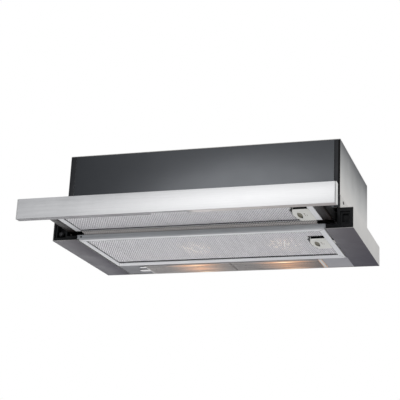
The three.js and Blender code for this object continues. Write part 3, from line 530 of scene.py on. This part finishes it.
def frame_teeth(node, rear_strip, length, pitch=2.9 * MM):
    """Small teeth along a filter frame's rear edge that hold down the mesh."""
    low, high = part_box(node)
    edge = high.y - rear_strip + 0.2 * MM
    left, right = low.x + 12 * MM, high.x - 12 * MM
    count = round((right - left) / pitch)
    step = (right - left) / count
    teeth = []
    for i in range(count):
        x = left + i * step
        teeth.append([(x, edge), (x + 0.35 * step, edge - length), (x + 0.65 * step, edge)])
    piece = prism_piece(node + "_teeth", [tooth[::-1] for tooth in teeth], low.z + 0.1 * MM, low.z + 0.6 * MM)
    return detail(piece, node, "filter_frame")


def anticlockwise(outline):
    """True for an outline that runs anticlockwise, seen from above."""
    total = 0
    for (x0, y0), (x1, y1) in zip(outline, outline[1:] + outline[:1]):
        total += x0 * y1 - x1 * y0
    return total > 0


def mitre_marks(node, rear_strip):
    """Fine dark joints across the corners of a filter frame."""
    low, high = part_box(node)
    marks = []
    corners = [(low.y, 1, 11 * MM)] + ([(high.y, -1, rear_strip)] if rear_strip > 5 * MM else [])
    for x_edge, inward_x in ((low.x, 1), (high.x, -1)):
        for y_edge, inward_y, width in corners:
            outer = Vector((x_edge + inward_x * 0.5 * MM, y_edge + inward_y * 0.5 * MM))
            inner = Vector((x_edge + inward_x * 10.6 * MM, y_edge + inward_y * (width - 0.4 * MM)))
            across = (inner - outer).orthogonal().normalized() * 0.25 * MM
            marks.append([outer + across, inner + across, inner - across, outer - across])
    marks = [mark if anticlockwise(mark) else mark[::-1] for mark in marks]
    piece = prism_piece(node + "_mitres", marks, low.z - 0.06 * MM, low.z + 0.10 * MM)
    return detail(piece, node, "shade_and_joint_dark")


def shade_disc(name, node, axis, centre, radii, thick=0.3 * MM, sides=20):
    """A dark round or oval disc in a hole that runs along an axis: painted shade inside the hole."""
    turn = {"x": Matrix.Rotation(math.pi / 2, 3, "Y"), "y": Matrix.Rotation(math.pi / 2, 3, "X")}[axis]
    angles = [2 * math.pi * k / sides for k in range(sides)]
    ring = [(radii[0] * math.cos(a), radii[1] * math.sin(a)) for a in angles]
    piece = prism_piece(name, [ring], -thick / 2, thick / 2)
    for vertex in piece.data.vertices:
        vertex.co = turn @ vertex.co + Vector(centre)
    return detail(piece, node, "black_steel")


LENS_BODY_LEFT = -188.5 * MM  # where the left lens's ribbed part starts
TRIM_LEFT = -189.2 * MM
FINGER_TABS = ((-197, -58, 5), (-204, -32, 7))  # middle along X and Y and radius, in millimetres
RIM_WIDTHS = {"end": 5 * MM, "front": 1.1 * MM, "clip": 1 * MM}


def lens_trim():
    """Bright rims at the lens strip's ends and the two rounded finger tabs; the end clip's rims glow with
    painted lamp light.
    """
    low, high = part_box("lamp_lens_left")
    under = (low.z - 0.15 * MM, low.z + 0.3 * MM)
    tabs = []
    for x, y, radius in FINGER_TABS:
        arc = [math.pi / 2 + math.pi * k / 12 for k in range(13)]
        round_end = [((x + radius * math.cos(a)) * MM, (y + radius * math.sin(a)) * MM) for a in arc]
        tabs.append(round_end + [(TRIM_LEFT, (y - radius) * MM), (TRIM_LEFT, (y + radius) * MM)])
    rim_end = TRIM_LEFT + RIM_WIDTHS["end"]
    left_rim = [(TRIM_LEFT, low.y), (rim_end, low.y), (rim_end, high.y), (TRIM_LEFT, high.y)]
    detail(prism_piece("lamp_lens_left_tabs", tabs, *under), "lamp_lens_left", "lens_tab")
    detail(prism_piece("lamp_lens_left_rim", [left_rim], *under), "lamp_lens_left", "lens_tab")
    for lens in ("lamp_lens_left", "lamp_lens_right"):
        start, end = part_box(lens)
        x0 = max(start.x, TRIM_LEFT)
        y1 = start.y + RIM_WIDTHS["front"]
        line = [(x0, start.y), (end.x, start.y), (end.x, y1), (x0, y1)]
        detail(prism_piece(lens + "_front_rim", [line], *under), lens, "lens_tab")
    low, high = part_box("lamp_end_clip")
    width = RIM_WIDTHS["clip"]
    for name, x0, x1 in (("inner", low.x, low.x + width), ("outer", high.x - width, high.x)):
        edge = [(x0, low.y), (x1, low.y), (x1, high.y), (x0, high.y)]
        detail(prism_piece("lamp_end_clip_" + name, [edge], *under), "lamp_end_clip", "lit_rim")


FINE_PITCH = (4.6 * MM, 8.7 * MM)
COARSE_PITCH = (7.0 * MM, 12.5 * MM)
FRAME_STRIP = 11 * MM
HINGE_STRIP = 12.2 * MM
FRONT_SHEET = 1.0 * MM  # heights above the frame's underside
INNER_SHEET = 2.4 * MM
# The dark core sheet behind the mesh is painted shade.
SHADE_CORE = {"low": 3.6 * MM, "high": 4.2 * MM, "inset": 1.5 * MM}


def filter_pack(name, frame_strip_rear, teeth_gap):
    """A grease filter's mesh pack: a fine front sheet, a coarser inner one in a darker copy of the metal, and
    a dark core sheet; the inner sheet's darkness and the core are painted shade.
    """
    node, latch = name + "_mesh", name + "_latch"
    low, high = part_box(name + "_frame")
    x_span = (low.x + HINGE_STRIP, high.x - FRAME_STRIP)
    y_span = (low.y + FRAME_STRIP, high.y - frame_strip_rear - teeth_gap)
    pocket = latch_pocket(latch)
    around_fine, around_coarse = widened(pocket, FINE_PITCH), widened(pocket, COARSE_PITCH)
    front = expanded_mesh(
        node + "_front", x_span, y_span, low.z + FRONT_SHEET, FINE_PITCH, 0.62 * MM, 0.35 * MM, around_fine
    )
    place(front, node, ["filter_mesh"])
    inner = expanded_mesh(
        node + "_inner", x_span, y_span, low.z + INNER_SHEET, COARSE_PITCH, 1.3 * MM, 0.4 * MM, around_coarse
    )
    place(inner, node, ["mesh_inner"])
    inset = SHADE_CORE["inset"]
    shade_core_low = (low.x + inset, low.y + inset, low.z + SHADE_CORE["low"])
    shade_core_high = (high.x - inset, high.y - inset, low.z + SHADE_CORE["high"])
    place(box_piece(node + "_shade_core", shade_core_low, shade_core_high), node, ["shade_and_joint_dark"])


def lens_ribs(node, count=11, proud=0.45 * MM):
    """Half-round ribs along X under a lens."""
    low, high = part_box(node)
    left = max(low.x, LENS_BODY_LEFT)
    span = high.y - low.y - 3 * MM
    pitch = span / count
    vertices, faces = [], []
    steps = 6
    for rib in range(count):
        start_y = low.y + 1.5 * MM + rib * pitch
        base = len(vertices)
        for x in (left + 1 * MM, high.x - 1 * MM):
            for k in range(steps + 1):
                angle = math.pi * k / steps
                y = start_y + pitch * (1 - math.cos(angle)) / 2
                vertices.append((x, y, low.z + 0.1 * MM - (proud + 0.1 * MM) * math.sin(angle)))
        ring = steps + 1
        for k in range(steps):
            faces.append((base + k, base + k + 1, base + ring + k + 1, base + ring + k))
        faces.append((base, base + ring, base + ring + steps, base + steps))
        faces.append(tuple(base + k for k in range(steps, -1, -1)))
        faces.append(tuple(base + ring + k for k in range(steps + 1)))
    piece = new_piece(node + "_ribs", vertices, faces)
    piece.data.shade_smooth()
    piece.data.set_sharp_from_angle(angle=math.radians(40))
    return detail(piece, node, "lamp_lens")


def latch_mark(latch):
    """Raised arrow beside the latch's finger recess."""
    low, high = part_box(latch)
    centre = (low.y + high.y) / 2
    x = low.x + 21 * MM
    bars = {
        "shaft": ((x, centre - 8 * MM), (x + 0.7 * MM, centre + 7 * MM)),
        "head": ((x - 2 * MM, centre - 8.7 * MM), (x + 2.7 * MM, centre - 8 * MM)),
        "foot": ((x + 3.4 * MM, centre - 1 * MM), (x + 4.2 * MM, centre + 6 * MM)),
    }
    for name, ((x0, y0), (x1, y1)) in bars.items():
        bar = box_piece(f"{latch}_mark_{name}", (x0, y0, low.z - 0.2 * MM), (x1, y1, low.z + 0.2 * MM))
        detail(bar, latch, "latch_recess")


# ---- Assembly -----------------------------------------------------------------------------

SHEET_EDGE = 0.3 * MM
MOULDED_EDGE = 0.5 * MM


def underneath(node):
    """Picks the lowest faces of a node."""
    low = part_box(node)[0]
    return lambda centre, normal: normal.z < -0.7 and centre.z < low.z + 0.5 * MM


def facing_front(centre, normal):
    return normal.y < -0.7


def visor_face_shade_and_light(piece):
    """Gives the visor panel's right end a darker stainless, painted shade on its rounded end, and its finger
    notch a bright finish, painted light.
    """
    low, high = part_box("visor_panel")
    piece.data.materials.append(MATERIALS["stainless_end_shade"])
    piece.data.materials.append(MATERIALS["notch_painted_light"])
    for face in piece.data.polygons:
        if face.normal.x > 0.7 and face.center.x > high.x - 1 * MM:
            face.material_index = 2
        elif face.normal.z < -0.7 and low.z + 1 * MM < face.center.z < low.z + 9 * MM:
            face.material_index = 3


def latch_recess(latch):
    """Picks the faces inside the latch's finger recess, which take a dark olive colour: painted shade."""
    low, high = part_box(latch)
    middle_y = (low.y + high.y) / 2

    def inside(centre, normal):
        near = abs(centre.x - low.x - 12 * MM) < 6 * MM and abs(centre.y - middle_y - 3 * MM) < 19 * MM
        return near and low.z + 0.3 * MM < centre.z < low.z + 3 * MM and normal.z < 0.5

    return inside


def shade_latch_front(piece):
    """Gives a latch's front wall, which stands in the slot ahead of it, a near-black finish: painted shade of
    the slot.
    """
    piece.data.materials.append(MATERIALS["black_steel"])
    for face in piece.data.polygons:
        if face.normal.y < -0.7:
            face.material_index = 2


def slope_screen(piece, front, drop, run):
    """Lowers the bypass screen behind its front edge, over a short run."""
    for vertex in piece.data.vertices:
        vertex.co.z -= drop * min(1.0, max(0.0, (vertex.co.y - front) / run))


def bypass_screen():
    """The screen behind the visor's filter: open mesh over a dark sheet of painted shade."""
    low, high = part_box("visor_bypass_screen")
    height, strand, tilt = low.z + 0.6 * MM, 1.25 * MM, 0.2 * MM
    name = "visor_bypass_screen_mesh"
    screen = expanded_mesh(name, (low.x, high.x), (low.y, high.y), height, FINE_PITCH, strand, tilt)
    slope_screen(screen, low.y, drop=3.8 * MM, run=11 * MM)
    place(screen, "visor_bypass_screen", ["screen_mesh"])
    shade_sheet_low = low + Vector((0, 0, 1.6 * MM))
    shade_sheet = box_piece("visor_bypass_screen_shade_sheet", shade_sheet_low, high)
    place(shade_sheet, "visor_bypass_screen", ["shade_and_joint_dark"])


def box_bend_shade(width=4 * MM, thick=0.6 * MM, foot=25 * MM):
    """Dark strip down the upper box's right front edge: painted shade in the flange's bend."""
    low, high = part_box("box_side_right")
    front = low.y - 0.1 * MM
    start = (high.x - width, front, foot)
    end = (high.x - 0.1 * MM, front + thick, high.z - 1 * MM)
    detail(box_piece("box_side_right_bend_shade", start, end), "box_side_right", "black_steel")


def hole_shades():
    """Dark discs of painted shade in the front bar's hole and in the fixing hole of each flange."""
    bar_hole, bar_radius = Vector((-238.6, -283.9, -34)) * MM, 1.8 * MM
    shade_disc("front_bar_hole_shade", "front_bar", "y", bar_hole, (bar_radius, bar_radius))
    flange_radii = (2.9 * MM, 5.2 * MM)
    for side, sign in (("left", -1), ("right", 1)):
        hole = Vector((sign * 274.8, -258, 15.6)) * MM
        shade_disc("flange_hole_shade_" + side, "side_channel_" + side, "x", hole, flange_radii)


for side in ("left", "right"):
    channel = "side_channel_" + side
    formed(channel, SHEET_EDGE, other="strip_grey", where=underneath(channel))
    formed("box_side_" + side, SHEET_EDGE, finish="side_wall", other="flange_steel", where=facing_front)
    # The rails take near-black paint: painted shade of the dark cavity they run in.
    formed("fixed_rail_" + side, SHEET_EDGE, finish="black_steel")
    formed("visor_rail_" + side, SHEET_EDGE, finish="black_steel")
    formed("visor_side_" + side, SHEET_EDGE)
    formed("visor_end_cap_" + side, MOULDED_EDGE, segments=3)
    formed("scroll_side_" + side, SHEET_EDGE)
    formed("pod_" + side, MOULDED_EDGE, segments=3)

for node in (
    "front_panel",
    "top_panel",
    "back_panel",
    "front_bar",
    "lamp_panel",
    "lamp_reflector",
    "visor_top_plate",
    "visor_rear_bar",
    "fixed_filter_frame",
    "scroll_shell",
    "motor_bracket",
):
    formed(node, SHEET_EDGE)

# The lip under the visor panel takes a darker copy of the stainless, with painted shade and painted warm
# light.
panel = formed("visor_panel", 0.6 * MM, 3, other="stainless_lip_shade_and_glow", where=underneath("visor_panel"))
visor_face_shade_and_light(panel)

visor_filter_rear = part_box("visor_filter_frame")[1].y
# The frame's rear wall takes the near-black finish: painted shade.
formed(
    "visor_filter_frame",
    SHEET_EDGE,
    other="shade_and_joint_dark",
    where=lambda centre, normal: centre.y > visor_filter_rear - 1.5 * MM,
)

for node in (
    "outlet_collar",
    "damper_flap_front",
    "damper_flap_rear",
    "cable_gland",
    "control_box",
    "control_box_cover",
    "push_button",
    "button_switch",
    "visor_switch",
    "visor_switch_plunger",
    "lamp_end_clip",
    "lamp_holder_left",
    "lamp_holder_right",
    "motor_housing",
    "motor_capacitor",
    "collar_screw_1",
    "collar_screw_2",
    "collar_screw_3",
    "collar_screw_4",
):
    formed(node, MOULDED_EDGE)

formed("pod_screw", MOULDED_EDGE, finish="screw_dark")

for name, rear_strip, teeth_gap in (("fixed_filter", 21 * MM, 8 * MM), ("visor_filter", 1 * MM, 4 * MM)):
    filter_pack(name, rear_strip, teeth_gap)
    latch = name + "_latch"
    latch_body = formed(latch, MOULDED_EDGE, 3, other="latch_recess", where=latch_recess(latch))
    shade_latch_front(latch_body)
    latch_mark(latch)
    mitre_marks(name + "_frame", rear_strip)
    frame_teeth(name + "_frame", rear_strip, length=0.7 * teeth_gap)

for side in ("left", "right"):
    lens = "lamp_lens_" + side
    formed(lens, SHEET_EDGE)
    lens_ribs(lens)
lens_trim()

bypass_screen()
box_bend_shade()
hole_shades()

for node in ("impeller", "motor_shaft", "lamp_bulb_left", "lamp_bulb_right"):
    cad = frame["nodes"][node]
    cad.data.materials.clear()
    cad.data.materials.append(MATERIALS[SLOT_OF[node]])


# ---- Studio -------------------------------------------------------------------------------


FLOOR_HEIGHT = -1.65


def studio_floor():
    """A wide pale floor at the height that a kitchen floor lies below such a hood."""
    bpy.ops.mesh.primitive_plane_add(size=60, location=(0, 0, FLOOR_HEIGHT))
    floor = bpy.context.object
    floor.name = "studio_floor"
    r = Recipe("floor_pale", (0.86, 0.86, 0.86), 0.8)
    r.tinted(r.noise(r.place, 0.8, 2), (0.86, 0.86, 0.86), 0.01)
    floor.data.materials.append(r.material)


def soft_light(name, power, size, location, target=(0, -0.2, 0)):
    light = bpy.data.lights.new(name, "AREA")
    light.shape = "RECTANGLE"
    light.size, light.size_y = size
    light.energy = power
    lamp = bpy.data.objects.new(name, light)
    bpy.context.scene.collection.objects.link(lamp)
    lamp.location = location
    lamp.rotation_euler = (Vector(target) - Vector(location)).to_track_quat("-Z", "Y").to_euler()


def pale_world():
    """White behind the object, and a softer grey sky for its light."""
    world = bpy.data.worlds.new("studio")
    bpy.context.scene.world = world
    world.use_nodes = True
    nodes, links = world.node_tree.nodes, world.node_tree.links
    sky = nodes["Background"]
    sky.inputs["Color"].default_value = (0.80, 0.81, 0.84, 1)
    sky.inputs["Strength"].default_value = 0.55
    behind = nodes.new("ShaderNodeBackground")
    behind.inputs["Color"].default_value = (1, 1, 1, 1)
    behind.inputs["Strength"].default_value = 1.0
    mix = nodes.new("ShaderNodeMixShader")
    links.new(nodes.new("ShaderNodeLightPath").outputs["Is Camera Ray"], mix.inputs["Fac"])
    links.new(sky.outputs["Background"], mix.inputs[1])
    links.new(behind.outputs["Background"], mix.inputs[2])
    links.new(mix.outputs["Shader"], nodes["World Output"].inputs["Surface"])


def photo_camera():
    """Long lens below and to the right of the hood, looking up at its underside."""
    data = bpy.data.cameras.new("camera")
    data.sensor_width = 36
    data.lens = 100.1
    data.shift_x, data.shift_y = -0.073, -0.026
    camera = bpy.data.objects.new("camera", data)
    bpy.context.scene.collection.objects.link(camera)
    bpy.context.scene.camera = camera
    forward = Vector((-0.28536, 0.90671, 0.31056)).normalized()
    up = Vector((0.05435, -0.30820, 0.94977)).normalized()
    right = forward.cross(up).normalized()
    axes = Matrix((right, right.cross(forward), -forward)).transposed()
    camera.matrix_world = Matrix.Translation((0.6618, -2.1959, -0.6089)) @ axes.to_4x4()


photo_camera()
studio_floor()
pale_world()
soft_light("front_softbox", 12, (1.6, 1.5), (-0.35, -3.1, 1.0))
soft_light("right_softbox", 34, (1.8, 1.8), (3.0, 0.2, 0.2))
soft_light("low_rear_fill", 14, (3.0, 1.2), (-1.9, 2.1, -0.9))
bpy.context.scene.view_settings.view_transform = "Standard"
